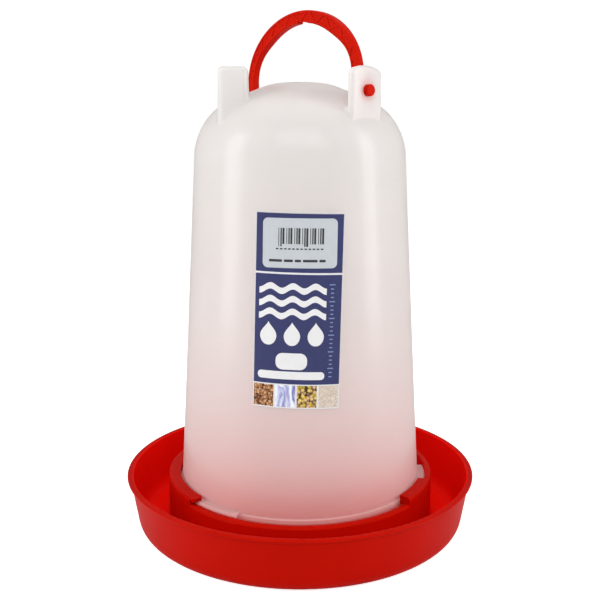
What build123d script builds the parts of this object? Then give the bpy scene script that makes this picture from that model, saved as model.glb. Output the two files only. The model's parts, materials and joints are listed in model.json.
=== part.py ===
from build123d import *
import math
import os

# Three litre gravity drinker for poultry: an upturned fount twist-locked into a round trough,
# carried by a bail handle. Millimetres, +Z up, the viewer stands on the -Y side, z = 0 on the floor.

# trough base
RIM_R = 105.0
RIM_Z = 32.6
LIP_H = 1.7
TRAY_TOP_R = 103.5
TRAY_FOOT_R = 99.2
TRAY_BEND_Z = 7.0
TRAY_FLAT_R = 90.6
TRAY_WALL = 2.0
TROUGH_FLOOR_Z = 2.2
FOOT_IN_R = 84.0
PANEL_LIFT = 1.2
PANEL_TOP_Z = 3.2

# collar that holds the fount
COLLAR_OUT_R = 80.4
COLLAR_IN_R = 76.9
COLLAR_LOW_Z = 27.3
COLLAR_TOP_Z = 31.4
FLANGE_IN_R = 73.5
FLANGE_H = 2.1
CREST_ROUND = 1.6
STOP_IN_R = 73.8
HOOK_INSET = 0.5
HOOK_TIP_ROUND = 1.6
SEAT_RIBS = 6
SEAT_RIB_IN_R = 66.0
SEAT_RIB_W = 2.4
SEAT_Z = 6.2
PORTS = 4
PORT_W = 18.0
PORT_TOP_Z = 12.0

# compass angles round the drinker, from the front, growing toward +X
FULL_WALL = (50.0, 309.5)
FLANGE_SECTORS = ((50.0, 72.5), (104.0, 192.5), (224.0, 302.0))
HOOK_SECTOR = (301.5, 312.0)
TAB_CENTRES = (-42.0, 78.0, 198.0)
TAB_SPAN = 30.0
STOP_SECTORS = ((50.0, 62.8), (180.5, 182.8), (300.5, 302.8))

# fount
NECK_R = 72.0
NECK_Z = 31.0
MOUTH_Z = 6.2
SHOULDER_R = 61.3
SHOULDER_Z = 212.0
CROWN = (
    (61.1, 217.4),
    (60.2, 225.2),
    (58.1, 231.9),
    (54.5, 238.6),
    (48.8, 245.1),
    (36.4, 252.3),
    (25.6, 256.6),
)
APEX_Z = 260.7
FOUNT_WALL = 1.6
TAB_OUT_R = 76.6
TAB_TOP_Z = 29.05
TAB_H = 1.6
BEAD_R = 73.2
BEAD_LOW_Z = 25.0
BEAD_TOP_Z = 28.6
AIR_HOLE_D = 7.0
AIR_HOLE_Z = 17.0

# three posts on the shoulder: two lugs for the handle and one plain foot square to them
POST_TOP_Z = 266.6
FOOT_W = 15.8
FOOT_D = 13.0
FOOT_X = 35.7
FOOT_Y = 29.8
FOOT_ROUND = 3.0
FOOT_WALL = 1.8
FOOT_TAPER = 1.5
FOOT_ROOT_Z = 226.0
LUG_ANGLE = 41.0
LUG_OUT_R = 53.9
LUG_T = 4.2
LUG_W = 21.6
LUG_CROWN = 2.2
LUG_ROUND = 1.9
LUG_CORNER = 3.0
LUG_ROOT_Z = 232.0
ROOT_ROUND = 1.8

# handle
PIVOT_Z = 253.8
PIN_D = 6.2
PIN_HOLE_D = 6.36
PIN_L = 7.4
PIN_TIP_ROUND = 0.6
SPRING_Z = 262.0
ARCH_OUT_R = 47.6
ARCH_RISE = 37.6
CROWN_T = 6.8
LEG_T = 5.7
INNER_PULL = 0.685
HANDLE_W = 4.6
LEG_FOOT_T = 5.2
HANDLE_SLIDE = 1.7
EDGE_ROUND = 0.7
WEB_INSET = 1.3
WEB_RECESS = 0.45
LATTICE_BARS = 20
LATTICE_SLANT = 45.0
LATTICE_W = 0.8
HANG_NOTCH = 1.3
HANG_RAMP = 7.0

# label and price sticker
LABEL_W = 45.4
LABEL_H = 102.2
LABEL_Z = 140.3
LABEL_X = -1.0
LABEL_T = 0.2
LABEL_LEAN = -1.5
STICKER_W = 38.4
STICKER_H = 25.6
STICKER_Z = 176.0
STICKER_X = 0.1
STICKER_LEAN = -0.9
STICKER_CORNER = 2.6
GLUE_GAP = 0.06

os.makedirs("parts", exist_ok=True)


def sector_plane(angle):
    """Upright plane through the axis, its local x pointing out at a compass angle."""
    turn = math.radians(angle - 90.0)
    outward = Vector(math.cos(turn), math.sin(turn), 0)
    return Plane(origin=(0, 0, 0), x_dir=outward, z_dir=outward.cross(Vector(0, 0, 1)))


def cone_r(z):
    """Outer radius of the fount's straight side at a height."""
    return NECK_R + (SHOULDER_R - NECK_R) * (z - NECK_Z) / (SHOULDER_Z - NECK_Z)


def ring_sector(points, start, end):
    """Revolve a closed outline of (radius, height) points between two compass angles."""
    with BuildPart(mode=Mode.PRIVATE) as sector:
        with BuildSketch(sector_plane(start)):
            with BuildLine():
                Polyline(*points, close=True)
            make_face()
        revolve(axis=Axis.Z, revolution_arc=end - start)
    return sector.part


# ---------------------------------------------------------------- trough base
def wall_r(z):
    """Outer radius of the trough's sloping wall at a height."""
    return TRAY_FOOT_R + (TRAY_TOP_R - TRAY_FOOT_R) * (z - TRAY_BEND_Z) / (RIM_Z - TRAY_BEND_Z)


with BuildPart() as base:
    with BuildSketch(Plane.XZ):
        with BuildLine():
            Polyline((TRAY_FLAT_R, 0), (FOOT_IN_R, 0), (FOOT_IN_R - PANEL_LIFT, PANEL_LIFT), (0, PANEL_LIFT))
            Polyline((0, PANEL_LIFT), (0, PANEL_TOP_Z), (COLLAR_IN_R, PANEL_TOP_Z))
            Line((COLLAR_IN_R, PANEL_TOP_Z), (COLLAR_IN_R, COLLAR_LOW_Z))
            Line((COLLAR_IN_R, COLLAR_LOW_Z), (COLLAR_OUT_R - CREST_ROUND, COLLAR_LOW_Z))
            JernArc((COLLAR_OUT_R - CREST_ROUND, COLLAR_LOW_Z), (1, 0), CREST_ROUND, -90)
            Line((COLLAR_OUT_R, COLLAR_LOW_Z - CREST_ROUND), (COLLAR_OUT_R, TROUGH_FLOOR_Z + 3))
            JernArc((COLLAR_OUT_R, TROUGH_FLOOR_Z + 3), (0, -1), 3, 90)
            Line((COLLAR_OUT_R + 3, TROUGH_FLOOR_Z), (TRAY_FLAT_R - 1, TROUGH_FLOOR_Z))
            Spline(
                (TRAY_FLAT_R - 1, TROUGH_FLOOR_Z),
                (wall_r(9) - TRAY_WALL, 9),
                tangents=((1, 0), (TRAY_TOP_R - TRAY_FOOT_R, RIM_Z - TRAY_BEND_Z)),
            )
            Line((wall_r(9) - TRAY_WALL, 9), (wall_r(RIM_Z - 0.8) - TRAY_WALL, RIM_Z - 0.8))
            ThreePointArc(
                (wall_r(RIM_Z - 0.8) - TRAY_WALL, RIM_Z - 0.8),
                (wall_r(RIM_Z) - TRAY_WALL + 0.3, RIM_Z - 0.2),
                (wall_r(RIM_Z) - TRAY_WALL + 0.9, RIM_Z),
            )
            Line((wall_r(RIM_Z) - TRAY_WALL + 0.9, RIM_Z), (RIM_R - LIP_H / 2, RIM_Z))
            JernArc((RIM_R - LIP_H / 2, RIM_Z), (1, 0), LIP_H / 2, -180)
            Line((RIM_R - LIP_H / 2, RIM_Z - LIP_H), (wall_r(RIM_Z - LIP_H), RIM_Z - LIP_H))
            Line((wall_r(RIM_Z - LIP_H), RIM_Z - LIP_H), (TRAY_FOOT_R, TRAY_BEND_Z))
            Spline(
                (TRAY_FOOT_R, TRAY_BEND_Z),
                (TRAY_FLAT_R, 0),
                tangents=((TRAY_FOOT_R - TRAY_TOP_R, TRAY_BEND_Z - RIM_Z), (-1, 0)),
            )
        make_face()
    revolve(axis=Axis.Z)

    # the collar stands taller all round except across the front
    crest = (
        (COLLAR_IN_R, COLLAR_LOW_Z - 2),
        (COLLAR_OUT_R, COLLAR_LOW_Z - 2),
        (COLLAR_OUT_R, COLLAR_TOP_Z - CREST_ROUND),
        (COLLAR_OUT_R - 0.3 * CREST_ROUND, COLLAR_TOP_Z - 0.3 * CREST_ROUND),
        (COLLAR_OUT_R - CREST_ROUND, COLLAR_TOP_Z),
        (COLLAR_IN_R, COLLAR_TOP_Z),
    )
    add(ring_sector(crest, *FULL_WALL))

    # inward flange in sectors, with entry gaps between them for the fount's tabs
    flange = (
        (FLANGE_IN_R, COLLAR_TOP_Z - FLANGE_H),
        (COLLAR_IN_R + 0.5, COLLAR_TOP_Z - FLANGE_H),
        (COLLAR_IN_R + 0.5, COLLAR_TOP_Z),
        (FLANGE_IN_R, COLLAR_TOP_Z),
    )
    for sector in FLANGE_SECTORS:
        add(ring_sector(flange, *sector))

    # hook at the front left, its tip overhanging the low part of the collar
    hook = (
        (FLANGE_IN_R, COLLAR_TOP_Z - FLANGE_H),
        (COLLAR_OUT_R - HOOK_INSET, COLLAR_TOP_Z - FLANGE_H),
        (COLLAR_OUT_R - HOOK_INSET, COLLAR_TOP_Z),
        (FLANGE_IN_R, COLLAR_TOP_Z),
    )
    hook_end = ring_sector(hook, *HOOK_SECTOR)
    tip_edges = hook_end.edges().filter_by(Axis.Z).sort_by(Axis.X)[-2:]
    add(hook_end.fillet(HOOK_TIP_ROUND, tip_edges))

    # stops that end the locking twist; the one at the right closes the flange's front end
    stop = (
        (STOP_IN_R, COLLAR_LOW_Z - 1),
        (COLLAR_IN_R + 0.5, COLLAR_LOW_Z - 1),
        (COLLAR_IN_R + 0.5, COLLAR_TOP_Z - FLANGE_H + 0.5),
        (STOP_IN_R, COLLAR_TOP_Z - FLANGE_H + 0.5),
    )
    for sector in STOP_SECTORS:
        add(ring_sector(stop, *sector))

    # radial ribs the mouth of the fount stands on
    with BuildSketch(Plane.XY.offset(PANEL_TOP_Z - 0.5)):
        with PolarLocations((SEAT_RIB_IN_R + COLLAR_IN_R) / 2, SEAT_RIBS):
            Rectangle(COLLAR_IN_R - SEAT_RIB_IN_R + 1, SEAT_RIB_W)
    extrude(amount=SEAT_Z - PANEL_TOP_Z + 0.5)

    # ports that let water out of the collar into the trough
    with BuildSketch(Plane.XY.offset(PANEL_TOP_Z)):
        with PolarLocations((COLLAR_IN_R + COLLAR_OUT_R) / 2, PORTS, start_angle=-90):
            Rectangle(COLLAR_OUT_R - COLLAR_IN_R + 6, PORT_W)
    extrude(amount=PORT_TOP_Z - PANEL_TOP_Z, mode=Mode.SUBTRACT)

base.part.label = "trough_base"
export_step(base.part, "parts/trough_base.step")


# ---------------------------------------------------------------- fount
def crown_inside(points):
    """The crown's points moved inward by the wall thickness, square to the curve."""
    chain = [(SHOULDER_R, SHOULDER_Z)] + list(points) + [(0, APEX_Z)]
    moved = []
    for before, here, after in zip(chain, chain[1:], chain[2:]):
        run = Vector(after[0] - before[0], after[1] - before[1]).normalized()
        moved.append((here[0] - FOUNT_WALL * run.Y, here[1] + FOUNT_WALL * run.X))
    return moved


def bell(crown, wall, bottom_z, apex_z):
    """Solid of revolution under the fount's side and crown, moved in by a wall thickness."""
    lean = (SHOULDER_R - NECK_R, SHOULDER_Z - NECK_Z)
    with BuildPart(mode=Mode.PRIVATE) as solid:
        with BuildSketch(Plane.XZ):
            with BuildLine():
                Line((0, bottom_z), (NECK_R - wall, bottom_z))
                Line((NECK_R - wall, bottom_z), (NECK_R - wall, NECK_Z))
                Line((NECK_R - wall, NECK_Z), (SHOULDER_R - wall, SHOULDER_Z))
                Spline(
                    (SHOULDER_R - wall, SHOULDER_Z),
                    *crown,
                    (0, apex_z),
                    tangents=(lean, (-1, 0)),
                )
                Line((0, apex_z), (0, bottom_z))
            make_face()
        revolve(axis=Axis.Z)
    return solid.part


lug_turn = math.radians(LUG_ANGLE - 90.0)
lug_out = Vector(math.cos(lug_turn), math.sin(lug_turn), 0)
lug_side = lug_out.cross(Vector(0, 0, 1))

with BuildPart() as fount:
    add(bell(CROWN, 0, MOUTH_Z, APEX_Z))

    # hollow foot at the front left, blown with the body
    with BuildSketch(Plane.XY.offset(FOOT_ROOT_Z)):
        with Locations((-FOOT_X, -FOOT_Y)):
            RectangleRounded(FOOT_W + 2, FOOT_D + 2, FOOT_ROUND + 1)
    extrude(amount=POST_TOP_Z - FOOT_ROOT_Z, taper=FOOT_TAPER)
    foot_top = fount.faces().sort_by(Axis.Z)[-1]
    fillet(foot_top.edges(), radius=FOOT_ROUND - 0.6)

    # two flat lugs across the handle's pins, each with a crowned top
    for side in (1, -1):
        inner_face = lug_out * side * (LUG_OUT_R - LUG_T)
        lug_plane = Plane(origin=inner_face, x_dir=lug_side * -side, z_dir=lug_out * side)
        with BuildPart(mode=Mode.PRIVATE) as lug:
            with BuildSketch(lug_plane):
                with BuildLine():
                    Line((-LUG_W / 2 - 1, LUG_ROOT_Z), (LUG_W / 2 + 1, LUG_ROOT_Z))
                    Line((LUG_W / 2 + 1, LUG_ROOT_Z), (LUG_W / 2, POST_TOP_Z - LUG_CROWN))
                    ThreePointArc(
                        (LUG_W / 2, POST_TOP_Z - LUG_CROWN),
                        (0, POST_TOP_Z),
                        (-LUG_W / 2, POST_TOP_Z - LUG_CROWN),
                    )
                    Line((-LUG_W / 2, POST_TOP_Z - LUG_CROWN), (-LUG_W / 2 - 1, LUG_ROOT_Z))
                corners = make_face().vertices().sort_by(Axis.Z)[-2:]
                fillet(corners, radius=LUG_CORNER)
            extrude(amount=LUG_T)
            broad = lug.faces().sort_by(Axis(origin=(0, 0, 0), direction=lug_out * side))
            rims = broad[-1].edges() + broad[0].edges()
            above_root = rims.filter_by_position(Axis.Z, LUG_ROOT_Z + 1, POST_TOP_Z + 1)
            fillet(above_root, radius=LUG_ROUND)
        add(lug.part)

    # soft roots where the posts rise from the crown
    crown_face = fount.faces().filter_by(GeomType.REVOLUTION)[0]
    roots = [edge for edge in crown_face.edges() if abs(edge.center().Y) > 5]
    fillet(roots, radius=ROOT_ROUND)

    # the cavity, open at the mouth and up into the foot
    add(bell(crown_inside(CROWN), FOUNT_WALL, MOUTH_Z - 1, APEX_Z - FOUNT_WALL), mode=Mode.SUBTRACT)
    with BuildSketch(Plane.XY.offset(FOOT_ROOT_Z)):
        with Locations((-FOOT_X, -FOOT_Y)):
            RectangleRounded(FOOT_W + 2 - 2 * FOOT_WALL, FOOT_D + 2 - 2 * FOOT_WALL, FOOT_ROUND - 0.5)
    extrude(amount=POST_TOP_Z - FOOT_WALL - FOOT_ROOT_Z, taper=FOOT_TAPER, mode=Mode.SUBTRACT)

    # a bore through each lug for the handle's pins
    for side in (1, -1):
        bore_start = lug_out * side * (LUG_OUT_R - LUG_T - 1) + Vector(0, 0, PIVOT_Z)
        with BuildSketch(Plane(origin=bore_start, z_dir=lug_out * side)):
            Circle(PIN_HOLE_D / 2)
        extrude(amount=LUG_T + 2, mode=Mode.SUBTRACT)

    # three tabs that turn under the collar's flange
    tab = (
        (NECK_R - 0.5, TAB_TOP_Z - TAB_H),
        (TAB_OUT_R, TAB_TOP_Z - TAB_H),
        (TAB_OUT_R, TAB_TOP_Z - 0.5),
        (TAB_OUT_R - 0.5, TAB_TOP_Z),
        (NECK_R - 0.5, TAB_TOP_Z),
    )
    for centre in TAB_CENTRES:
        add(ring_sector(tab, centre - TAB_SPAN / 2, centre + TAB_SPAN / 2))

    # bead round the neck that centres it in the collar, clear of the flange's edge
    bead = (
        (NECK_R - 0.5, BEAD_LOW_Z),
        (BEAD_R, BEAD_LOW_Z + 1),
        (BEAD_R, BEAD_TOP_Z - 0.6),
        (NECK_R - 0.5, BEAD_TOP_Z),
    )
    add(ring_sector(bead, 0, 360))

    # hole at the back of the neck that sets the water level
    with BuildSketch(Plane(origin=(0, NECK_R - 5, AIR_HOLE_Z), z_dir=(0, 1, 0))):
        Circle(AIR_HOLE_D / 2)
    extrude(amount=10, mode=Mode.SUBTRACT)

fount.part.label = "fount"
export_step(fount.part, "parts/fount.step")


# ---------------------------------------------------------------- handle
arch_plane = Plane(origin=lug_side * (-HANDLE_W / 2), x_dir=lug_out, z_dir=lug_side)


def draw_arch(inset):
    """Draw the bail's closed outline, moved in from its edges by an inset."""
    outer = ARCH_OUT_R - inset
    inner = ARCH_OUT_R - LEG_T + inset
    inner_rise = ARCH_RISE - CROWN_T + inset
    leg_inner = ARCH_OUT_R - LEG_FOOT_T + inset
    foot_z = PIVOT_Z + 3 * inset
    EllipticalCenterArc((0, SPRING_Z), outer, ARCH_RISE - inset, arc_size=180)
    Polyline((-outer, SPRING_Z), (-outer, foot_z), (-leg_inner, foot_z), (-inner, SPRING_Z))
    for side in (1, -1):
        Spline(
            (side * inner, SPRING_Z),
            (side * inner * INNER_PULL, SPRING_Z + inner_rise * INNER_PULL),
            (0, SPRING_Z + inner_rise),
            tangents=((0, 1), (-side, 0)),
        )
    Polyline((inner, SPRING_Z), (leg_inner, foot_z), (outer, foot_z), (outer, SPRING_Z))


with BuildPart() as handle:
    # bail: a flat band bent into an arch, straight legs, tapered toward the pins
    with BuildSketch(arch_plane):
        with BuildLine():
            draw_arch(0)
        make_face()
    extrude(amount=HANDLE_W)
    fillet(handle.faces().filter_by(arch_plane).edges(), radius=EDGE_ROUND)

    # shallow channel down each broad side, braced by a zigzag lattice
    for side in (0, 1):
        channel_plane = arch_plane.offset(HANDLE_W - WEB_RECESS if side else 0)
        with BuildSketch(channel_plane):
            with BuildLine():
                draw_arch(WEB_INSET)
            make_face()
            mid = ARCH_OUT_R - LEG_T / 2
            mid_rise = ARCH_RISE - CROWN_T / 2
            for bar in range(LATTICE_BARS):
                turn = math.radians(180 * (bar + 0.5) / LATTICE_BARS)
                spot = (mid * math.cos(turn), SPRING_Z + mid_rise * math.sin(turn), 0)
                along = math.degrees(math.atan2(mid_rise * math.cos(turn), -mid * math.sin(turn)))
                slant = along + (LATTICE_SLANT if bar % 2 else -LATTICE_SLANT)
                with Locations(Location(spot, slant)):
                    Rectangle(CROWN_T * 1.4, LATTICE_W, mode=Mode.SUBTRACT)
        extrude(amount=WEB_RECESS, mode=Mode.SUBTRACT)

    # round end on each leg, with its pin pointing out through the lug
    for side in (1, -1):
        leg_inside = lug_out * side * (ARCH_OUT_R - LEG_FOOT_T) + Vector(0, 0, PIVOT_Z)
        with BuildSketch(Plane(origin=leg_inside, z_dir=lug_out * side)):
            Circle(PIN_D / 2)
        extrude(amount=LEG_FOOT_T + PIN_L)
        tip = handle.faces().sort_by(Axis(origin=(0, 0, 0), direction=lug_out * side))[-1]
        fillet(tip.edges(), radius=PIN_TIP_ROUND)

    # sawtooth in the middle of the grip, so the drinker hangs level from a hook
    with BuildSketch(arch_plane):
        with BuildLine():
            inner_top = SPRING_Z + ARCH_RISE - CROWN_T
            Polyline(
                (-HANDLE_SLIDE, inner_top - 1),
                (-HANDLE_SLIDE, inner_top + HANG_NOTCH),
                (HANG_RAMP, inner_top - 0.3),
                (HANG_RAMP, inner_top - 1),
                close=True,
            )
        make_face()
    extrude(amount=HANDLE_W, mode=Mode.SUBTRACT)

handle_placed = Pos(*(lug_out * HANDLE_SLIDE)) * handle.part
handle_placed.label = "handle"
export_step(handle_placed, "parts/handle.step")


# ---------------------------------------------------------------- label and price sticker
def wrapped_patch(gap, size, corner, middle, lean):
    """Rounded rectangle of thin film wrapped on the front of the fount's side."""
    low_z = middle[1] - size[1] * 0.6
    high_z = middle[1] + size[1] * 0.6
    shell = (
        (cone_r(low_z) + gap, low_z),
        (cone_r(low_z) + gap + LABEL_T, low_z),
        (cone_r(high_z) + gap + LABEL_T, high_z),
        (cone_r(high_z) + gap, high_z),
    )
    with BuildPart() as patch:
        add(ring_sector(shell, -40, 40))
        with BuildSketch(Plane.XZ.offset(NECK_R / 2)):
            with Locations(Location((middle[0], middle[1], 0), lean)):
                RectangleRounded(*size, corner)
        extrude(amount=NECK_R, mode=Mode.INTERSECT)
    return patch.part


label = wrapped_patch(GLUE_GAP, (LABEL_W, LABEL_H), 0.4, (LABEL_X, LABEL_Z), LABEL_LEAN)
label.label = "label"
export_step(label, "parts/label.step")

sticker = wrapped_patch(
    2 * GLUE_GAP + LABEL_T,
    (STICKER_W, STICKER_H),
    STICKER_CORNER,
    (STICKER_X, STICKER_Z),
    STICKER_LEAN,
)
sticker.label = "price_sticker"
export_step(sticker, "parts/price_sticker.step")
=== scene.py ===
import json
import math

import bpy
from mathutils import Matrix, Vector


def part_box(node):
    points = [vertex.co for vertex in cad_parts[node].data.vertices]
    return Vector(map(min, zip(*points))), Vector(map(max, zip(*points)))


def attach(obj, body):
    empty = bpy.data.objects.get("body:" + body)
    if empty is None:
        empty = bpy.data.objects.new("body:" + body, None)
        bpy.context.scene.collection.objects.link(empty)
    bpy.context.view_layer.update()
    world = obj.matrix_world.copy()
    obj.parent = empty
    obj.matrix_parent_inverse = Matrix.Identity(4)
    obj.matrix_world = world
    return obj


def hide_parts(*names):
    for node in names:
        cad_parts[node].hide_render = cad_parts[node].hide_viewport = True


# A three litre gravity drinker for poultry. A translucent fount stands upside down in a round red trough
# and hangs from a red bail handle. Metres, +Z up, the label faces -Y.

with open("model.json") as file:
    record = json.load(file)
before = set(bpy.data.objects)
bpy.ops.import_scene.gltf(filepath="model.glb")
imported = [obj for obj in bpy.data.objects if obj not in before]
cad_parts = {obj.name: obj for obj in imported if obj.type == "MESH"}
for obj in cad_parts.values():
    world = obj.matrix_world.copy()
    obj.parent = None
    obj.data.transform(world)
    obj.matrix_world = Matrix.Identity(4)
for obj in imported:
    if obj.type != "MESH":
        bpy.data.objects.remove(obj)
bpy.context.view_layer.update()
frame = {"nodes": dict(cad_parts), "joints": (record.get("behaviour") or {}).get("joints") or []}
bpy.ops.object.select_all(action="DESELECT")


# ---------------------------------------------------------------- trough base
# The round trough with its rolled rim, collar and bayonet flange is one injection moulding in red
# polypropylene: glossy, faintly streaked by the flow of the melt, and paler along its edges from handling.

def value_node(tree, kind, **settings):
    """A node of a kind, with its attributes and unlinked inputs set."""
    node = tree.nodes.new(kind)
    for key, value in settings.items():
        if hasattr(node, key):
            setattr(node, key, value)
        else:
            node.inputs[key.replace("_", " ")].default_value = value
    return node


def moulded_skin_group():
    """Surface of moulded plastic: mottle and fine scratches as masks, and a height for bump."""
    group = bpy.data.node_groups.new("moulded_skin", "ShaderNodeTree")
    group.interface.new_socket("Mottle Scale", in_out="INPUT", socket_type="NodeSocketFloat")
    group.interface.new_socket("Grain Scale", in_out="INPUT", socket_type="NodeSocketFloat")
    group.interface.new_socket("Mottle", in_out="OUTPUT", socket_type="NodeSocketFloat")
    group.interface.new_socket("Scuff", in_out="OUTPUT", socket_type="NodeSocketFloat")
    group.interface.new_socket("Height", in_out="OUTPUT", socket_type="NodeSocketFloat")
    entry = group.nodes.new("NodeGroupInput")
    leave = group.nodes.new("NodeGroupOutput")
    place = group.nodes.new("ShaderNodeTexCoord")
    mottle = value_node(group, "ShaderNodeTexNoise", Detail=4.0, Roughness=0.55)
    grain = value_node(group, "ShaderNodeTexNoise", Detail=2.0, Roughness=0.5)
    stretch = value_node(group, "ShaderNodeMapping")
    stretch.inputs["Scale"].default_value = (40.0, 900.0, 260.0)
    stretch.inputs["Rotation"].default_value = (0.3, 0.5, 0.7)
    scratch = value_node(group, "ShaderNodeTexNoise", Scale=1.0, Detail=3.0, Roughness=0.7)
    scratch_mask = value_node(group, "ShaderNodeMapRange")
    scratch_mask.inputs["From Min"].default_value = 0.60
    scratch_mask.inputs["From Max"].default_value = 0.72
    blend = value_node(group, "ShaderNodeMath", operation="MULTIPLY_ADD")
    blend.inputs[1].default_value = 0.35
    link = group.links.new
    link(place.outputs["Object"], mottle.inputs["Vector"])
    link(entry.outputs["Mottle Scale"], mottle.inputs["Scale"])
    link(place.outputs["Object"], grain.inputs["Vector"])
    link(entry.outputs["Grain Scale"], grain.inputs["Scale"])
    link(place.outputs["Object"], stretch.inputs["Vector"])
    link(stretch.outputs["Vector"], scratch.inputs["Vector"])
    link(scratch.outputs["Fac"], scratch_mask.inputs["Value"])
    link(mottle.outputs["Fac"], leave.inputs["Mottle"])
    link(scratch_mask.outputs["Result"], leave.inputs["Scuff"])
    link(mottle.outputs["Fac"], blend.inputs[0])
    link(grain.outputs["Fac"], blend.inputs[2])
    link(blend.outputs["Value"], leave.inputs["Height"])
    return group


def edge_rub_group():
    """Mask of the outward edges, where handling has rubbed the skin."""
    group = bpy.data.node_groups.new("edge_rub", "ShaderNodeTree")
    group.interface.new_socket("Radius", in_out="INPUT", socket_type="NodeSocketFloat")
    group.interface.new_socket("Mask", in_out="OUTPUT", socket_type="NodeSocketFloat")
    entry = group.nodes.new("NodeGroupInput")
    leave = group.nodes.new("NodeGroupOutput")
    plain = group.nodes.new("ShaderNodeNewGeometry")
    softened = group.nodes.new("ShaderNodeBevel")
    softened.samples = 4
    agree = value_node(group, "ShaderNodeVectorMath", operation="DOT_PRODUCT")
    rubbed = value_node(group, "ShaderNodeMapRange")
    rubbed.inputs["From Min"].default_value = 0.99
    rubbed.inputs["From Max"].default_value = 0.80
    link = group.links.new
    link(entry.outputs["Radius"], softened.inputs["Radius"])
    link(plain.outputs["Normal"], agree.inputs[0])
    link(softened.outputs["Normal"], agree.inputs[1])
    link(agree.outputs["Value"], rubbed.inputs["Value"])
    link(rubbed.outputs["Result"], leave.inputs["Mask"])
    return group


moulded_skin = moulded_skin_group()
edge_rub = edge_rub_group()


def mix_colours(tree, factor, low, high):
    """A colour between two, by a factor socket; each colour is a socket or an RGBA value."""
    mixer = tree.nodes.new("ShaderNodeMix")
    mixer.data_type = "RGBA"
    tree.links.new(factor, mixer.inputs["Factor"])
    for socket, colour in ((mixer.inputs[6], low), (mixer.inputs[7], high)):
        if isinstance(colour, tuple):
            socket.default_value = colour
        else:
            tree.links.new(colour, socket)
    return mixer.outputs[2]


def scaled_value(tree, socket, factor, offset):
    """A value socket times a factor, plus an offset."""
    math_node = value_node(tree, "ShaderNodeMath", operation="MULTIPLY_ADD")
    math_node.inputs[1].default_value = factor
    math_node.inputs[2].default_value = offset
    tree.links.new(socket, math_node.inputs[0])
    return math_node.outputs["Value"]


def plastic_material(name, deep, bright, rubbed, roughness, gloss_break, bump, rub_radius):
    """Moulded plastic: mottled colour, paler rubbed edges, scuffs in the gloss and a fine skin."""
    material = bpy.data.materials.new(name)
    material.use_nodes = True
    tree = material.node_tree
    shader = tree.nodes["Principled BSDF"]
    skin = tree.nodes.new("ShaderNodeGroup")
    skin.node_tree = moulded_skin
    skin.inputs["Mottle Scale"].default_value = 38.0
    skin.inputs["Grain Scale"].default_value = 900.0
    rub = tree.nodes.new("ShaderNodeGroup")
    rub.node_tree = edge_rub
    rub.inputs["Radius"].default_value = rub_radius
    body = mix_colours(tree, skin.outputs["Mottle"], deep, bright)
    faint_rub = scaled_value(tree, rub.outputs["Mask"], 0.45, 0.0)
    tree.links.new(mix_colours(tree, faint_rub, body, rubbed), shader.inputs["Base Color"])
    dulled = scaled_value(tree, skin.outputs["Scuff"], gloss_break, roughness)
    tree.links.new(dulled, shader.inputs["Roughness"])
    shader.inputs["Specular IOR Level"].default_value = 0.05
    shader.inputs["Specular Tint"].default_value = (1.0, 0.60, 0.35, 1.0)
    relief = tree.nodes.new("ShaderNodeBump")
    relief.inputs["Strength"].default_value = bump
    relief.inputs["Distance"].default_value = 0.0002
    tree.links.new(skin.outputs["Height"], relief.inputs["Height"])
    tree.links.new(relief.outputs["Normal"], shader.inputs["Normal"])
    return material


trough_red = plastic_material(
    "trough_red",
    deep=(0.44, 0.0028, 0.0002, 1.0),
    bright=(0.52, 0.0042, 0.0004, 1.0),
    rubbed=(0.60, 0.014, 0.007, 1.0),
    roughness=0.44,
    gloss_break=0.12,
    bump=0.12,
    rub_radius=0.0007,
)


# painted light: the brighter red of the trough's inside faces and floor
PAINTED_INSIDE_LIGHT_RED = (0.97, 0.0048, 0.0012, 1.0)
INSIDE_FLOOR_START = 0.005
INSIDE_FLOOR_END = 0.010


def paint_inside_light(material):
    """Painted light: brighter red on the trough's inward faces and floor, standing in for the light that
    falls inside.
    """
    tree = material.node_tree
    shader = tree.nodes["Principled BSDF"]
    colour = shader.inputs["Base Color"].links[0].from_socket
    place = tree.nodes.new("ShaderNodeTexCoord")
    flat = value_node(tree, "ShaderNodeVectorMath", operation="MULTIPLY")
    flat.inputs[1].default_value = (1.0, 1.0, 0.0)
    outward = value_node(tree, "ShaderNodeVectorMath", operation="NORMALIZE")
    facing = value_node(tree, "ShaderNodeVectorMath", operation="DOT_PRODUCT")
    inward = value_node(tree, "ShaderNodeMapRange")
    inward.inputs["From Min"].default_value = -0.05
    inward.inputs["From Max"].default_value = -0.55
    parts = tree.nodes.new("ShaderNodeSeparateXYZ")
    low = value_node(tree, "ShaderNodeMapRange")
    low.inputs["From Min"].default_value = INSIDE_FLOOR_END
    low.inputs["From Max"].default_value = INSIDE_FLOOR_START
    up = tree.nodes.new("ShaderNodeSeparateXYZ")
    floor_mask = value_node(tree, "ShaderNodeMath", operation="MULTIPLY", use_clamp=True)
    either = value_node(tree, "ShaderNodeMath", operation="MAXIMUM")
    link = tree.links.new
    link(place.outputs["Object"], flat.inputs[0])
    link(flat.outputs["Vector"], outward.inputs[0])
    link(outward.outputs["Vector"], facing.inputs[0])
    link(place.outputs["Normal"], facing.inputs[1])
    link(facing.outputs["Value"], inward.inputs["Value"])
    link(place.outputs["Object"], parts.inputs["Vector"])
    link(parts.outputs["Z"], low.inputs["Value"])
    link(place.outputs["Normal"], up.inputs["Vector"])
    link(low.outputs["Result"], floor_mask.inputs[0])
    link(up.outputs["Z"], floor_mask.inputs[1])
    link(inward.outputs["Result"], either.inputs[0])
    link(floor_mask.outputs["Value"], either.inputs[1])
    bright = mix_colours(tree, either.outputs["Value"], colour, PAINTED_INSIDE_LIGHT_RED)
    link(bright, shader.inputs["Base Color"])


paint_inside_light(trough_red)


def dress(node, material):
    """Give a node's object one material and nothing else."""
    node.data.materials.clear()
    node.data.materials.append(material)


dress(frame["nodes"]["trough_base"], trough_red)
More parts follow.
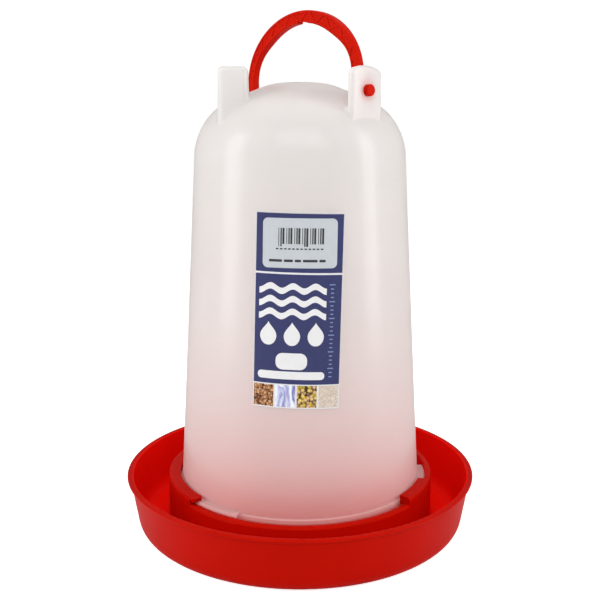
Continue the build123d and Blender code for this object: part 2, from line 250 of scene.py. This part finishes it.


# ---------------------------------------------------------------- fount
# The upturned bottle is blow moulded in natural polyethylene: milky, so that the light and some of the
# trough's red show through its 1.6 mm wall, with a satin skin and faint swirls from the cooling of the
# parison. Most of the red glow low on the wall, and the pins' glow around the lugs' bores, is painted light
# in its colour.

COLLAR_HEIGHT = 0.029
# painted light: the trough's red glow on the fount's wall, fading upward and thinned at a slant
PAINTED_TROUGH_GLOW_FADE = 0.042
PAINTED_TROUGH_GLOW_DEPTH = 0.50
PAINTED_TROUGH_GLOW_RED = (0.98, 0.26, 0.23, 1.0)
MILK_GREY = (0.91, 0.895, 0.88, 1.0)
MILK_WHITE = (0.96, 0.95, 0.94, 1.0)
PAINTED_GLOW_SLANT_FADE = 0.80
SCATTERED_SHARE = 0.55


def painted_trough_glow_mask(tree):
    """Painted light: how strongly the trough's red glow is painted on the wall, fading upward from the
    collar.
    """
    place = tree.nodes.new("ShaderNodeTexCoord")
    parts = tree.nodes.new("ShaderNodeSeparateXYZ")
    tree.links.new(place.outputs["Object"], parts.inputs["Vector"])
    climb = scaled_value(tree, parts.outputs["Z"], -1.0 / PAINTED_TROUGH_GLOW_FADE, COLLAR_HEIGHT / PAINTED_TROUGH_GLOW_FADE)
    fade = value_node(tree, "ShaderNodeMath", operation="EXPONENT")
    tree.links.new(climb, fade.inputs[0])
    level = value_node(tree, "ShaderNodeMath", operation="MULTIPLY", use_clamp=True)
    level.inputs[1].default_value = PAINTED_TROUGH_GLOW_DEPTH
    tree.links.new(fade.outputs["Value"], level.inputs[0])
    return level.outputs["Value"]


swing = next(joint for joint in frame["joints"] if joint["name"] == "handle_swing")
PIN_RADIUS = 0.0031
# painted light: the pin's red glow on the lug around its bore
PAINTED_PIN_GLOW_REACH = 0.0052
PAINTED_PIN_GLOW_DEPTH = 0.36
PAINTED_PIN_GLOW_RED = (0.97, 0.30, 0.27, 1.0)
LUG_INNER_RADIUS = 0.046


def painted_pin_glow_mask(tree):
    """Painted light: the pin's red glow through the lug, painted close around its bore."""
    place = tree.nodes.new("ShaderNodeTexCoord")
    arm = value_node(tree, "ShaderNodeVectorMath", operation="SUBTRACT")
    arm.inputs[1].default_value = swing["pos_m"]
    across = value_node(tree, "ShaderNodeVectorMath", operation="CROSS_PRODUCT")
    across.inputs[1].default_value = swing["axis"]
    distance = value_node(tree, "ShaderNodeVectorMath", operation="LENGTH")
    fade = value_node(tree, "ShaderNodeMapRange", interpolation_type="SMOOTHSTEP")
    fade.inputs["From Min"].default_value = PIN_RADIUS + PAINTED_PIN_GLOW_REACH
    fade.inputs["From Max"].default_value = PIN_RADIUS * 0.6
    fade.inputs["To Max"].default_value = PAINTED_PIN_GLOW_DEPTH
    reach = value_node(tree, "ShaderNodeVectorMath", operation="LENGTH")
    on_lug = value_node(tree, "ShaderNodeMath", operation="GREATER_THAN")
    on_lug.inputs[1].default_value = LUG_INNER_RADIUS
    halo = value_node(tree, "ShaderNodeMath", operation="MULTIPLY")
    link = tree.links.new
    link(place.outputs["Object"], arm.inputs[0])
    link(arm.outputs["Vector"], across.inputs[0])
    link(across.outputs["Vector"], distance.inputs[0])
    link(distance.outputs["Value"], fade.inputs["Value"])
    link(arm.outputs["Vector"], reach.inputs[0])
    link(reach.outputs["Value"], on_lug.inputs[0])
    link(fade.outputs["Result"], halo.inputs[0])
    link(on_lug.outputs["Value"], halo.inputs[1])
    return halo.outputs["Value"]


def milky_material():
    """Natural polyethylene: part of the light is scattered through the wall, the rest reflected.

    The red glow in it is painted light, from the trough low on the wall and from the pins round the lugs.
    The trough's glow thins where the wall is seen at a slant, so it shifts with the view.
    """
    material = bpy.data.materials.new("fount_milk")
    material.use_nodes = True
    tree = material.node_tree
    shader = tree.nodes["Principled BSDF"]
    output = tree.nodes["Material Output"]
    skin = tree.nodes.new("ShaderNodeGroup")
    skin.node_tree = moulded_skin
    skin.inputs["Mottle Scale"].default_value = 14.0
    skin.inputs["Grain Scale"].default_value = 420.0
    milk = mix_colours(tree, skin.outputs["Mottle"], MILK_GREY, MILK_WHITE)
    # the painted red glow is thinned where the wall is seen at a slant
    slant = value_node(tree, "ShaderNodeLayerWeight")
    slant.inputs["Blend"].default_value = 0.5
    painted_glow_slant = scaled_value(tree, slant.outputs["Facing"], -PAINTED_GLOW_SLANT_FADE, 1.0)
    painted_glow_share = value_node(tree, "ShaderNodeMath", operation="MULTIPLY")
    tree.links.new(painted_trough_glow_mask(tree), painted_glow_share.inputs[0])
    tree.links.new(painted_glow_slant, painted_glow_share.inputs[1])
    milk_with_painted_glow = mix_colours(tree, painted_glow_share.outputs["Value"], milk, PAINTED_TROUGH_GLOW_RED)
    wall_colour = mix_colours(tree, painted_pin_glow_mask(tree), milk_with_painted_glow, PAINTED_PIN_GLOW_RED)
    tree.links.new(wall_colour, shader.inputs["Base Color"])
    tree.links.new(scaled_value(tree, skin.outputs["Scuff"], 0.10, 0.22), shader.inputs["Roughness"])
    shader.inputs["IOR"].default_value = 1.51
    glow = tree.nodes.new("ShaderNodeBsdfTranslucent")
    tree.links.new(wall_colour, glow.inputs["Color"])
    relief = tree.nodes.new("ShaderNodeBump")
    relief.inputs["Strength"].default_value = 0.10
    relief.inputs["Distance"].default_value = 0.0004
    tree.links.new(skin.outputs["Height"], relief.inputs["Height"])
    tree.links.new(relief.outputs["Normal"], shader.inputs["Normal"])
    blend = tree.nodes.new("ShaderNodeMixShader")
    blend.inputs["Fac"].default_value = SCATTERED_SHARE
    tree.links.new(shader.outputs["BSDF"], blend.inputs[1])
    tree.links.new(glow.outputs["BSDF"], blend.inputs[2])
    tree.links.new(blend.outputs["Shader"], output.inputs["Surface"])
    return material


dress(frame["nodes"]["fount"], milky_material())


# ---------------------------------------------------------------- front label
# A printed film is stuck on the front of the fount: two navy panels on white, with four small pictures below.
# The artwork is cut flat and laid on the fount's cone, each layer of ink a hair above the last.

GLUE_GAP = 0.00006
FILM = 0.0002
INK = 0.00004
LABEL_WIDTH = 0.0454
LABEL_HEIGHT = 0.1022
LABEL_LEAN = math.radians(1.5)
label_low, label_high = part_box("label")
LABEL_MIDDLE = ((label_low[0] + label_high[0]) / 2, (label_low[2] + label_high[2]) / 2)
PANEL_MARGIN = 0.0002
FACING_FRONT = (math.radians(90.0), 0.0, 0.0)
STRIP = 0.0012
NECK_RADIUS = 0.0720
NECK_HEIGHT = 0.031
SHOULDER_RADIUS = 0.0613
SHOULDER_HEIGHT = 0.212
OUT_IN_FRONT = -0.1

bpy.ops.mesh.primitive_cone_add(
    vertices=720,
    radius1=NECK_RADIUS,
    radius2=SHOULDER_RADIUS,
    depth=SHOULDER_HEIGHT - NECK_HEIGHT,
    location=(0.0, 0.0, (SHOULDER_HEIGHT + NECK_HEIGHT) / 2),
)
former = bpy.context.object
former.name = "label_former"


def only(piece):
    """Select one object and make it active."""
    bpy.ops.object.select_all(action="DESELECT")
    piece.select_set(True)
    bpy.context.view_layer.objects.active = piece


def flat_patch(name, width, height, middle, corner=0.0):
    """A flat rectangle in the label's own plane, facing the front, its corners rounded."""
    bpy.ops.object.select_all(action="DESELECT")
    bpy.ops.mesh.primitive_plane_add(
        size=1.0, location=(middle[0], 0.0, middle[1]), rotation=FACING_FRONT
    )
    piece = bpy.context.object
    piece.name = name
    piece.scale = (width, height, 1.0)
    bpy.ops.object.transform_apply(location=True, rotation=True, scale=True)
    if corner:
        bpy.ops.object.mode_set(mode="EDIT")
        bpy.ops.mesh.select_all(action="SELECT")
        bpy.ops.mesh.bevel(offset=corner, segments=6, affect="VERTICES")
        bpy.ops.object.mode_set(mode="OBJECT")
    return piece


def joined(name, pieces):
    """Several flat pieces of one ink made one object."""
    only(pieces[0])
    for piece in pieces:
        piece.select_set(True)
    bpy.ops.object.join()
    pieces[0].name = name
    return pieces[0]


def lay_on_fount(piece, middle, lean, lift, thickness, material):
    """Cut flat artwork into narrow strips, wrap it on the fount's side and give it its thickness."""
    only(piece)
    edges = [corner[0] for corner in piece.bound_box]
    bpy.ops.object.mode_set(mode="EDIT")
    cut = math.ceil(min(edges) / STRIP) * STRIP
    while cut < max(edges):
        bpy.ops.mesh.select_all(action="SELECT")
        bpy.ops.mesh.bisect(plane_co=(cut, 0.0, 0.0), plane_no=(1.0, 0.0, 0.0))
        cut += STRIP
    bpy.ops.object.mode_set(mode="OBJECT")
    piece.location = (middle[0], OUT_IN_FRONT, middle[1])
    piece.rotation_euler = (0.0, lean, 0.0)
    bpy.ops.object.transform_apply(location=True, rotation=True, scale=True)
    wrap = piece.modifiers.new("wrap", "SHRINKWRAP")
    wrap.target = former
    wrap.wrap_method = "PROJECT"
    wrap.use_project_y = True
    wrap.use_positive_direction = True
    wrap.offset = lift
    bpy.ops.object.modifier_apply(modifier="wrap")
    body = piece.modifiers.new("thickness", "SOLIDIFY")
    body.thickness = thickness
    body.offset = 1.0
    bpy.ops.object.modifier_apply(modifier="thickness")
    bpy.ops.object.shade_smooth_by_angle(angle=math.radians(30.0))
    dress(piece, material)
    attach(piece, "fount_body")


def ink_material(name, ink, faded, roughness):
    """Printed ink on film: slightly uneven cover, a satin skin and a fine tooth."""
    material = bpy.data.materials.new(name)
    material.use_nodes = True
    tree = material.node_tree
    shader = tree.nodes["Principled BSDF"]
    skin = tree.nodes.new("ShaderNodeGroup")
    skin.node_tree = moulded_skin
    skin.inputs["Mottle Scale"].default_value = 300.0
    skin.inputs["Grain Scale"].default_value = 4000.0
    tree.links.new(mix_colours(tree, skin.outputs["Mottle"], ink, faded), shader.inputs["Base Color"])
    dulled = scaled_value(tree, skin.outputs["Scuff"], 0.12, roughness)
    tree.links.new(dulled, shader.inputs["Roughness"])
    shader.inputs["Specular IOR Level"].default_value = 0.25
    relief = tree.nodes.new("ShaderNodeBump")
    relief.inputs["Strength"].default_value = 0.08
    relief.inputs["Distance"].default_value = 0.00005
    tree.links.new(skin.outputs["Height"], relief.inputs["Height"])
    tree.links.new(relief.outputs["Normal"], shader.inputs["Normal"])
    return material


film_white = ink_material("film_white", (0.70, 0.70, 0.72, 1.0), (0.78, 0.78, 0.80, 1.0), 0.45)
navy_ink = ink_material("navy_ink", (0.032, 0.037, 0.118, 1.0), (0.042, 0.047, 0.140, 1.0), 0.42)
white_ink = ink_material("white_ink", (0.74, 0.74, 0.75, 1.0), (0.82, 0.82, 0.82, 1.0), 0.42)
sky_ink = ink_material("sky_ink", (0.17, 0.22, 0.42, 1.0), (0.22, 0.28, 0.48, 1.0), 0.42)

film = flat_patch("label_film", LABEL_WIDTH, LABEL_HEIGHT, (0.0, 0.0), corner=0.0004)
lay_on_fount(film, LABEL_MIDDLE, LABEL_LEAN, GLUE_GAP, FILM, film_white)
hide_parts("label")

# the two navy panels, bled to the film's sides, with a white line between them
PANEL_TOP = LABEL_HEIGHT / 2 - PANEL_MARGIN
UPPER_PANEL = 0.0303
PANEL_GAP = 0.0010
LOWER_PANEL = 0.0577
panel_width = LABEL_WIDTH - 2 * PANEL_MARGIN
upper_middle = PANEL_TOP - UPPER_PANEL / 2
lower_middle = PANEL_TOP - UPPER_PANEL - PANEL_GAP - LOWER_PANEL / 2
panels = joined(
    "label_panels",
    [
        flat_patch("upper", panel_width, UPPER_PANEL, (0.0, upper_middle), corner=0.0003),
        flat_patch("lower", panel_width, LOWER_PANEL, (0.0, lower_middle), corner=0.0003),
    ],
)
lay_on_fount(panels, LABEL_MIDDLE, LABEL_LEAN, GLUE_GAP + FILM, INK, navy_ink)


def drop(name, middle, radius):
    """A flat water drop: a round curve with its top point drawn up to a tip."""
    bpy.ops.object.select_all(action="DESELECT")
    bpy.ops.curve.primitive_bezier_circle_add(
        radius=radius, location=(middle[0], 0.0, middle[1]), rotation=FACING_FRONT
    )
    piece = bpy.context.object
    piece.name = name
    piece.data.dimensions = "2D"
    piece.data.fill_mode = "BOTH"
    tip = max(piece.data.splines[0].bezier_points, key=lambda point: point.co.y)
    tip.handle_left_type = "FREE"
    tip.handle_right_type = "FREE"
    tip.co.y += radius * 0.95
    for handle in (tip.handle_left, tip.handle_right):
        handle.y = tip.co.y - radius * 0.62
        handle.x = math.copysign(radius * 0.26, handle.x)
    bpy.ops.object.convert(target="MESH")
    bpy.ops.object.transform_apply(location=True, rotation=True, scale=True)
    return piece


WAVE_STEPS = 48


def wave(name, middle, length, stroke, swell, crests):
    """A flat band cut across many times, each cut raised or lowered so that the band runs like water."""
    piece = flat_patch(name, length, stroke, middle)
    only(piece)
    cuts = [middle[0] + length * (step / WAVE_STEPS - 0.5) for step in range(WAVE_STEPS + 1)]
    bpy.ops.object.mode_set(mode="EDIT")
    for across in cuts[1:-1]:
        bpy.ops.mesh.select_all(action="SELECT")
        bpy.ops.mesh.bisect(plane_co=(across, 0.0, 0.0), plane_no=(1.0, 0.0, 0.0))
    for across in cuts:
        bpy.ops.mesh.select_all(action="DESELECT")
        bpy.ops.object.mode_set(mode="OBJECT")
        for vertex in piece.data.vertices:
            vertex.select = abs(vertex.co.x - across) < length / WAVE_STEPS / 2
        bpy.ops.object.mode_set(mode="EDIT")
        turn = (across - middle[0]) / length * crests * 2 * math.pi
        bpy.ops.transform.translate(value=(0.0, 0.0, swell * math.cos(turn)))
    bpy.ops.object.mode_set(mode="OBJECT")
    return piece


# plain symbols in white: water, drops and a little drinker
SYMBOL_X = -0.0029
SYMBOL_WIDTH = 0.0350
WAVE_TOP = 0.0122
WAVE_PITCH = 0.0066
WAVE_STROKE = 0.0033
WAVE_SWELL = 0.0013
WAVE_CRESTS = 3
DROP_ROW = -0.0135
DROP_R = 0.0042
DROP_PITCH = 0.0124
TRAY_ROW = -0.0335
TRAY_HEIGHT = 0.0042
BELL_WIDTH = 0.0165
BELL_HEIGHT = 0.0088
BELL_ROW = TRAY_ROW + 0.0075
symbols = []
for row in range(3):
    middle = (SYMBOL_X, WAVE_TOP - row * WAVE_PITCH)
    symbols.append(wave("water", middle, SYMBOL_WIDTH, WAVE_STROKE, WAVE_SWELL, WAVE_CRESTS))
symbols += [
    drop("drip", (SYMBOL_X + place * DROP_PITCH, DROP_ROW), DROP_R) for place in (-1, 0, 1)
]
symbols += [
    flat_patch("tray", SYMBOL_WIDTH, TRAY_HEIGHT, (SYMBOL_X, TRAY_ROW), corner=0.0019),
    flat_patch("bell", BELL_WIDTH, BELL_HEIGHT, (SYMBOL_X, BELL_ROW), corner=0.0036),
]
symbol_print = joined("label_symbols", symbols)
SYMBOL_LIFT = GLUE_GAP + FILM + INK
lay_on_fount(symbol_print, LABEL_MIDDLE, LABEL_LEAN, SYMBOL_LIFT, INK, white_ink)

# a pale ruled scale down the right side
RULE_X = 0.0176
RULE_TOP = 0.0145
RULE_STEP = 0.0022
RULE_MARKS = 23
LONG_MARK = 0.0030
SHORT_MARK = 0.0016
MARK_HEIGHT = 0.0006
rule = []
for mark in range(RULE_MARKS):
    length = SHORT_MARK if mark % 4 else LONG_MARK
    rule.append(flat_patch("mark", length, MARK_HEIGHT, (RULE_X, RULE_TOP - mark * RULE_STEP)))
rule_print = joined("label_scale", rule)
lay_on_fount(rule_print, LABEL_MIDDLE, LABEL_LEAN, SYMBOL_LIFT, INK, sky_ink)


GRAIN_SHADOW = (0.05, 0.02, 0.01, 1.0)


def picture_material(name, scale, ramp, feature, stretch=(1.0, 1.0, 1.0)):
    """A tiny printed picture: cells or streaks of a few colours, as grain and water look from afar."""
    material = bpy.data.materials.new(name)
    material.use_nodes = True
    tree = material.node_tree
    shader = tree.nodes["Principled BSDF"]
    place = tree.nodes.new("ShaderNodeTexCoord")
    spread = tree.nodes.new("ShaderNodeMapping")
    spread.inputs["Scale"].default_value = stretch
    tree.links.new(place.outputs["Object"], spread.inputs["Vector"])
    if feature == "cells":
        pattern = value_node(tree, "ShaderNodeTexVoronoi", Scale=scale)
        tree.links.new(spread.outputs["Vector"], pattern.inputs["Vector"])
        tone = tree.nodes.new("ShaderNodeSeparateColor")
        tree.links.new(pattern.outputs["Color"], tone.inputs["Color"])
        value = tone.outputs["Red"]
    else:
        pattern = value_node(tree, "ShaderNodeTexNoise", Scale=scale, Detail=5.0, Distortion=1.2)
        tree.links.new(spread.outputs["Vector"], pattern.inputs["Vector"])
        value = pattern.outputs["Fac"]
    shades = tree.nodes.new("ShaderNodeValToRGB")
    elements = shades.color_ramp.elements
    while len(elements) < len(ramp):
        elements.new(0.5)
    for element, (position, colour) in zip(elements, ramp):
        element.position = position
        element.color = colour
    tree.links.new(value, shades.inputs["Fac"])
    paint = shades.outputs["Color"]
    if feature == "cells":
        shadow = value_node(tree, "ShaderNodeMapRange")
        shadow.inputs["From Min"].default_value = 0.35
        shadow.inputs["From Max"].default_value = 0.75
        tree.links.new(pattern.outputs["Distance"], shadow.inputs["Value"])
        paint = mix_colours(tree, shadow.outputs["Result"], paint, GRAIN_SHADOW)
    tree.links.new(paint, shader.inputs["Base Color"])
    shader.inputs["Roughness"].default_value = 0.42
    shader.inputs["Specular IOR Level"].default_value = 0.25
    return material


PICTURE_HEIGHT = 0.0117
PICTURE_WIDTH = 0.0104
PICTURE_PITCH = 0.0114
PICTURE_ROW = -LABEL_HEIGHT / 2 + 0.0065
picture_inks = (
    picture_material(
        "picture_pellets",
        820.0,
        ((0.0, (0.30, 0.10, 0.03, 1.0)), (0.5, (0.52, 0.25, 0.10, 1.0)), (1.0, (0.78, 0.48, 0.26, 1.0))),
        "cells",
    ),
    picture_material(
        "picture_water",
        170.0,
        ((0.30, (0.10, 0.09, 0.34, 1.0)), (0.45, (0.42, 0.44, 0.70, 1.0)), (0.56, (0.86, 0.88, 0.93, 1.0))),
        "streaks",
        stretch=(1.8, 1.0, 0.55),
    ),
    picture_material(
        "picture_corn",
        620.0,
        (
            (0.0, (0.30, 0.26, 0.04, 1.0)),
            (0.35, (0.72, 0.50, 0.05, 1.0)),
            (0.65, (0.70, 0.42, 0.30, 1.0)),
            (1.0, (0.85, 0.66, 0.12, 1.0)),
        ),
        "cells",
    ),
    picture_material(
        "picture_meal",
        900.0,
        ((0.35, (0.52, 0.42, 0.34, 1.0)), (0.65, (0.74, 0.66, 0.57, 1.0))),
        "streaks",
    ),
)
for place, ink in enumerate(picture_inks):
    across = (place - 1.5) * PICTURE_PITCH
    picture = flat_patch(ink.name, PICTURE_WIDTH, PICTURE_HEIGHT, (across, PICTURE_ROW))
    lay_on_fount(picture, LABEL_MIDDLE, LABEL_LEAN, GLUE_GAP + FILM, INK, ink)


# ---------------------------------------------------------------- price sticker
# A smaller pale paper sticker is put over the upper panel, printed in black with a row of bars and two
# rows of dashes, which stand for its code and its line of words.

STICKER_WIDTH = 0.0384
STICKER_HEIGHT = 0.0256
STICKER_CORNER = 0.0026
STICKER_LEAN = math.radians(0.9)
PASTE = 0.00002
sticker_low, sticker_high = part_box("price_sticker")
STICKER_MIDDLE = ((sticker_low[0] + sticker_high[0]) / 2, (sticker_low[2] + sticker_high[2]) / 2)
STICKER_LIFT = GLUE_GAP + FILM + INK + PASTE

sticker_paper = ink_material("sticker_paper", (0.49, 0.525, 0.56, 1.0), (0.56, 0.59, 0.62, 1.0), 0.5)
black_ink = ink_material("black_ink", (0.030, 0.030, 0.034, 1.0), (0.055, 0.055, 0.06, 1.0), 0.5)

sticker = flat_patch("sticker_paper", STICKER_WIDTH, STICKER_HEIGHT, (0.0, 0.0), corner=STICKER_CORNER)
lay_on_fount(
    sticker, STICKER_MIDDLE, STICKER_LEAN, STICKER_LIFT, FILM, sticker_paper
)
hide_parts("price_sticker")

BAR_START = -0.0112
BAR_END = 0.0127
BAR_UNIT = 0.00034
BAR_TOP = 0.0078
BAR_FOOT = -0.0004
LONG_BARS = (0, 1, 10, 11)
LONG_BAR_EXTRA = 0.0013
LAST_BARS = BAR_END - 3 * BAR_UNIT
bars = []
left = BAR_START
number = 0
while left < BAR_END:
    width = BAR_UNIT * (1 + (number * 7 + 3) % 3)
    gap = BAR_UNIT * (1 + (number * 5 + 1) % 3)
    foot = BAR_FOOT
    if number in LONG_BARS or left > LAST_BARS:
        foot -= LONG_BAR_EXTRA
    bars.append(
        flat_patch("bar", width, BAR_TOP - foot, (left + width / 2, (BAR_TOP + foot) / 2))
    )
    left += width + gap
    number += 1
DASH_ROW = -0.0029
DASH_START = -0.0118
DASH_PITCH = 0.0021
DASH_LENGTH = 0.0013
DASH_HEIGHT = 0.0007
for dash in range(12):
    across = DASH_START + dash * DASH_PITCH
    bars.append(flat_patch("dash", DASH_LENGTH, DASH_HEIGHT, (across, DASH_ROW)))
WORD_ROW = -0.0090
WORD_HEIGHT = 0.0013
WORD_CORNER = 0.0005
WORD_ENDS = ((-0.0160, -0.0092), (-0.0083, -0.0036), (-0.0027, 0.0006), (0.0015, 0.0091), (0.0100, 0.0133))
for start, end in WORD_ENDS:
    middle = ((start + end) / 2, WORD_ROW)
    bars.append(flat_patch("word", end - start, WORD_HEIGHT, middle, corner=WORD_CORNER))
sticker_print = joined("sticker_bars", bars)
lay_on_fount(
    sticker_print, STICKER_MIDDLE, STICKER_LEAN, STICKER_LIFT + FILM, INK, black_ink
)
bpy.data.objects.remove(former)


# ---------------------------------------------------------------- handle
# The bail is a second injection moulding in the same red, a little duller, with its two pins moulded on. Its
# legs are sprung apart to snap the pins into the fount's lugs.

handle_red = plastic_material(
    "handle_red",
    deep=(0.50, 0.0055, 0.0008, 1.0),
    bright=(0.58, 0.0080, 0.0015, 1.0),
    rubbed=(0.74, 0.035, 0.016, 1.0),
    roughness=0.40,
    gloss_break=0.10,
    bump=0.15,
    rub_radius=0.0005,
)
dress(frame["nodes"]["handle"], handle_red)


# ---------------------------------------------------------------- floor, light and camera
# A plain white sweep under soft light from four large panels and a pale sky, as in a studio. The camera looks
# slightly down at the label's side, from about the shoulder's height.

FLOOR_GLOW = 0.74
SKY_STRENGTH = 0.41
SKY_GLOW = 0.62


def floor_material():
    """Matt white sweep, with a glow that only the camera sees and that lights nothing."""
    material = bpy.data.materials.new("floor_paint")
    material.use_nodes = True
    tree = material.node_tree
    shader = tree.nodes["Principled BSDF"]
    shader.inputs["Base Color"].default_value = (0.90, 0.90, 0.90, 1.0)
    shader.inputs["Roughness"].default_value = 0.9
    shader.inputs["Specular IOR Level"].default_value = 0.1
    shader.inputs["Emission Color"].default_value = (1.0, 1.0, 1.0, 1.0)
    ray = tree.nodes.new("ShaderNodeLightPath")
    lit = scaled_value(tree, ray.outputs["Is Camera Ray"], FLOOR_GLOW, 0.0)
    tree.links.new(lit, shader.inputs["Emission Strength"])
    return material


bpy.ops.mesh.primitive_plane_add(size=6.0, location=(0.0, 0.0, 0.0))
floor = bpy.context.object
floor.name = "studio_floor"
dress(floor, floor_material())

world = bpy.data.worlds.new("studio_sky")
bpy.context.scene.world = world
world.use_nodes = True
sky_tree = world.node_tree
sky_ray = sky_tree.nodes.new("ShaderNodeLightPath")
# the sky is brighter to the camera than the light that it gives
sky_level = scaled_value(sky_tree, sky_ray.outputs["Is Camera Ray"], SKY_GLOW, SKY_STRENGTH)
sky_tree.nodes["Background"].inputs["Color"].default_value = (1.0, 1.0, 1.0, 1.0)
sky_tree.links.new(sky_level, sky_tree.nodes["Background"].inputs["Strength"])


def soft_panel(name, place, aim, width, height, power):
    """A rectangular area light at a place, turned toward a point."""
    bpy.ops.object.light_add(type="AREA", location=place)
    lamp = bpy.context.object
    lamp.name = name
    lamp.data.shape = "RECTANGLE"
    lamp.data.size = width
    lamp.data.size_y = height
    lamp.data.energy = power
    lamp.rotation_euler = (Vector(aim) - Vector(place)).to_track_quat("-Z", "Y").to_euler()
    return lamp


MIDDLE = (0.0, 0.0, 0.13)
soft_panel("panel_left", (-0.95, -0.30, 0.40), MIDDLE, 0.35, 0.9, 5.2)
soft_panel("panel_right", (0.95, -0.25, 0.40), MIDDLE, 0.30, 0.9, 4.7)
soft_panel("panel_top", (0.0, 0.1, 1.2), MIDDLE, 0.9, 0.9, 3.2)
soft_panel("panel_front", (0.0, -1.3, 1.15), MIDDLE, 1.3, 0.7, 8.8)

SENSOR = 36.0
LENS_TO_SENSOR = 1.3678
CAMERA_PLACE = (0.0, -0.483, 0.2241)
CAMERA_PITCH = math.radians(10.486)
bpy.ops.object.camera_add(
    location=CAMERA_PLACE,
    rotation=(math.radians(90.0) - CAMERA_PITCH, 0.0, 0.0),
)
camera = bpy.context.object
camera.data.sensor_width = SENSOR
camera.data.lens = SENSOR * LENS_TO_SENSOR
camera.data.clip_start = 0.01
bpy.context.scene.camera = camera
bpy.context.scene.view_settings.view_transform = "Standard"
